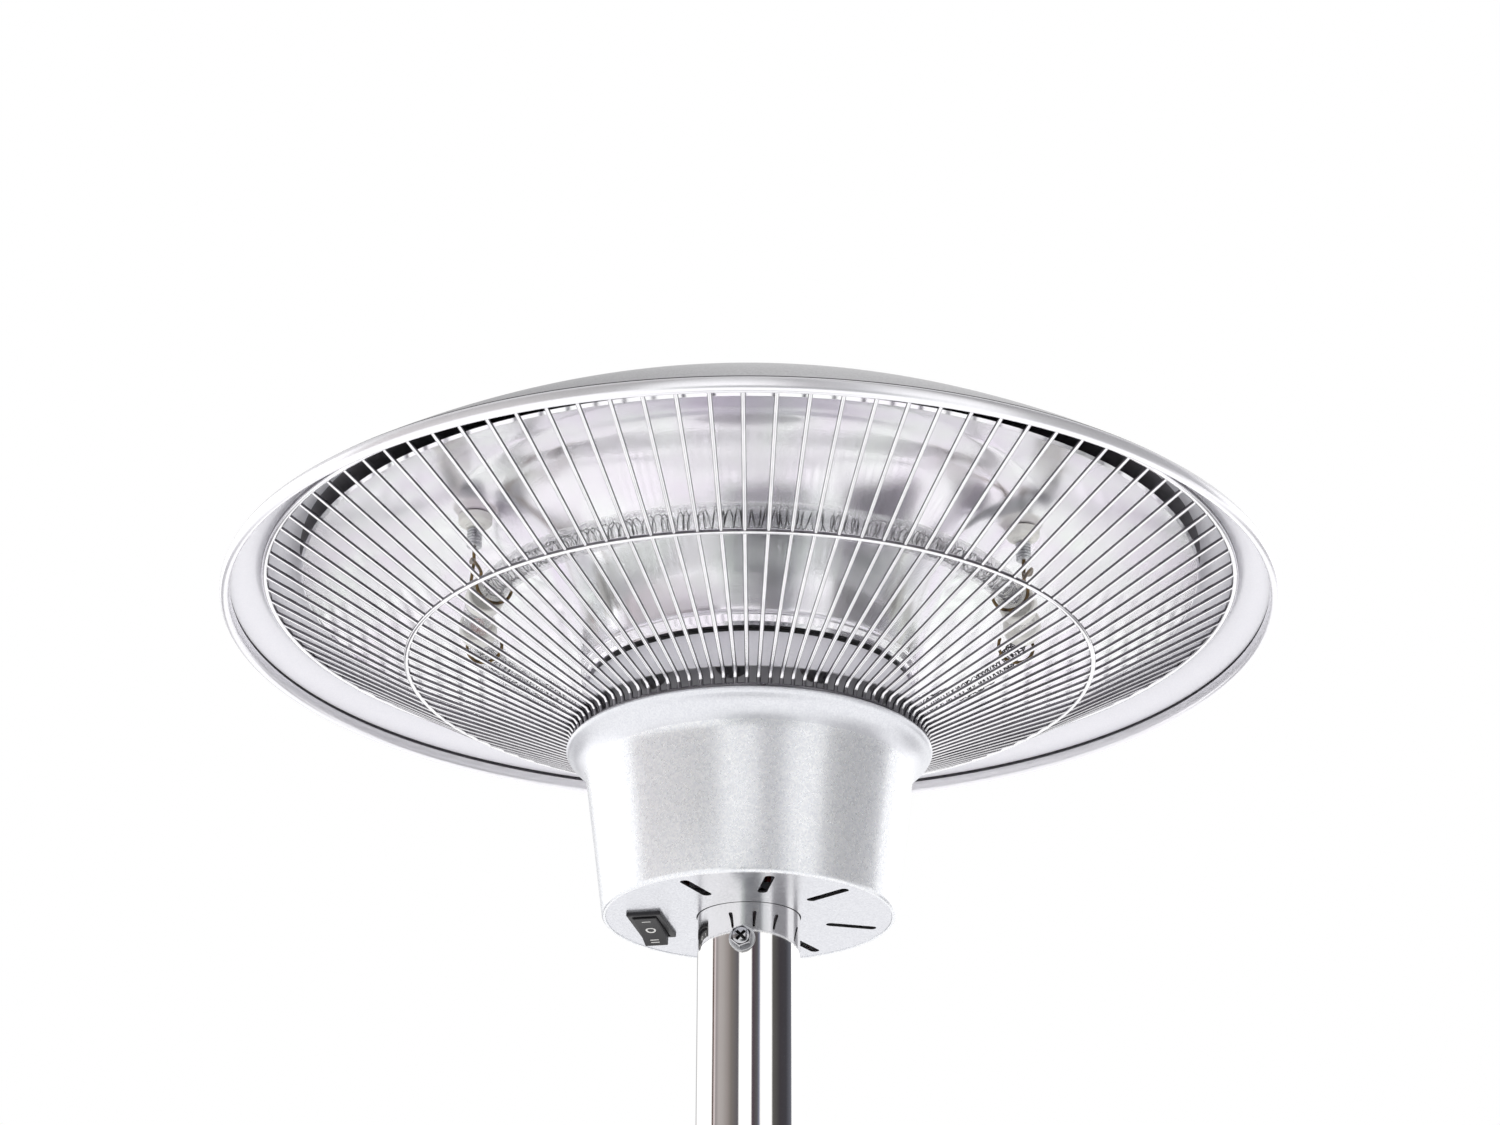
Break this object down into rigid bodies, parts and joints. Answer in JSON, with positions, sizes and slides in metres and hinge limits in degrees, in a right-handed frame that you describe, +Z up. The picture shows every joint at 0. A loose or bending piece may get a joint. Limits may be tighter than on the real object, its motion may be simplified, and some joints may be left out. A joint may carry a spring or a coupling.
{
  "type": "free-standing infrared heater",
  "caption": "Free-standing infrared heater with a domed canopy, polished reflector, ring lamps behind a conical wire guard, a vented hub with a rocker switch, a round post and a weighted base.",
  "frame": {"origin": "on the surface that the feet stand on, under the middle of the round base and the axis of the post", "axes": "+Z up along the post, -Y towards the camera of the picture, +X to the right in the picture"},
  "size_m": [0.4498, 0.4498, 0.918],
  "materials": {
    "satin_silver": "satin silver paint",
    "sparkle_silver": "silver metallic paint with a fine sparkle",
    "mirror_aluminium": "polished",
    "guard_steel": "bright plated wire",
    "mirror_steel": "mirror polished",
    "zinc_steel": "bright zinc",
    "quartz": "clear quartz",
    "filament_wire": "dark drawn resistance wire",
    "ceramic": "unglazed white ceramic",
    "dark_steel": "heat-darkened steel",
    "black_plastic": "fine matt",
    "brass": "stamped",
    "pale_plastic": "matt",
    "silicone": "silicone sleeving",
    "black_rubber": "matt",
    "cast_iron": "raw casting"
  },
  "bodies": {
    "heater": {"canopy_shell": "satin_silver", "canopy_rod": "zinc_steel", "rod_foot_nut": "zinc_steel", "rod_neck_nut": "zinc_steel", "canopy_lower_nut": "zinc_steel", "canopy_cap_nut": "mirror_steel", "reflector_dish": "mirror_aluminium", "reflector_screw_1": "zinc_steel", "reflector_screw_2": "zinc_steel", "reflector_screw_3": "zinc_steel", "guard": "guard_steel", "hub_neck": "satin_silver", "hub_core": "dark_steel", "hub_shell": "sparkle_silver", "hub_plate": "sparkle_silver", "hub_pillar_1": "zinc_steel", "hub_pillar_2": "zinc_steel", "hub_pillar_3": "zinc_steel", "lamp_front_tube": "quartz", "lamp_front_filament": "filament_wire", "lamp_front_cap_1": "ceramic", "lamp_front_cap_2": "ceramic", "lamp_back_tube": "quartz", "lamp_back_filament": "filament_wire", "lamp_back_cap_1": "ceramic", "lamp_back_cap_2": "ceramic", "insulator_left": "ceramic", "stud_left": "zinc_steel", "insulator_right": "ceramic", "stud_right": "zinc_steel", "hanger_front_left": "dark_steel", "hanger_front_right": "dark_steel", "hanger_back_left": "dark_steel", "hanger_back_right": "dark_steel", "switch_housing": "black_plastic", "switch_terminal_1": "brass", "switch_terminal_2": "brass", "switch_terminal_3": "brass", "terminal_block": "pale_plastic", "tilt_switch": "black_plastic", "lead_left": "silicone", "lead_right": "silicone", "lead_switch": "silicone", "post_tube": "mirror_steel", "post_socket": "zinc_steel", "post_screw": "zinc_steel", "post_screw_washer": "zinc_steel", "lead_supply": "black_rubber", "foot_1": "black_rubber", "foot_2": "black_rubber", "foot_3": "black_rubber", "base_plate": "zinc_steel", "base_weight": "cast_iron", "base_cover": "satin_silver", "post_flange": "zinc_steel", "base_bolt_1": "zinc_steel", "base_bolt_2": "zinc_steel", "base_bolt_3": "zinc_steel", "lead_grommet": "black_rubber"},
    "rocker": {"switch_rocker": "black_plastic"}
  },
  "joints": [
    {"name": "rocker_turn", "type": "hinge", "parent": "heater", "child": "rocker", "pos_m": [-0.0404, 0.0083, 0.6904], "axis": [0.9813, -0.1925, 0], "range_deg": [0, 19.5]}
  ]
}
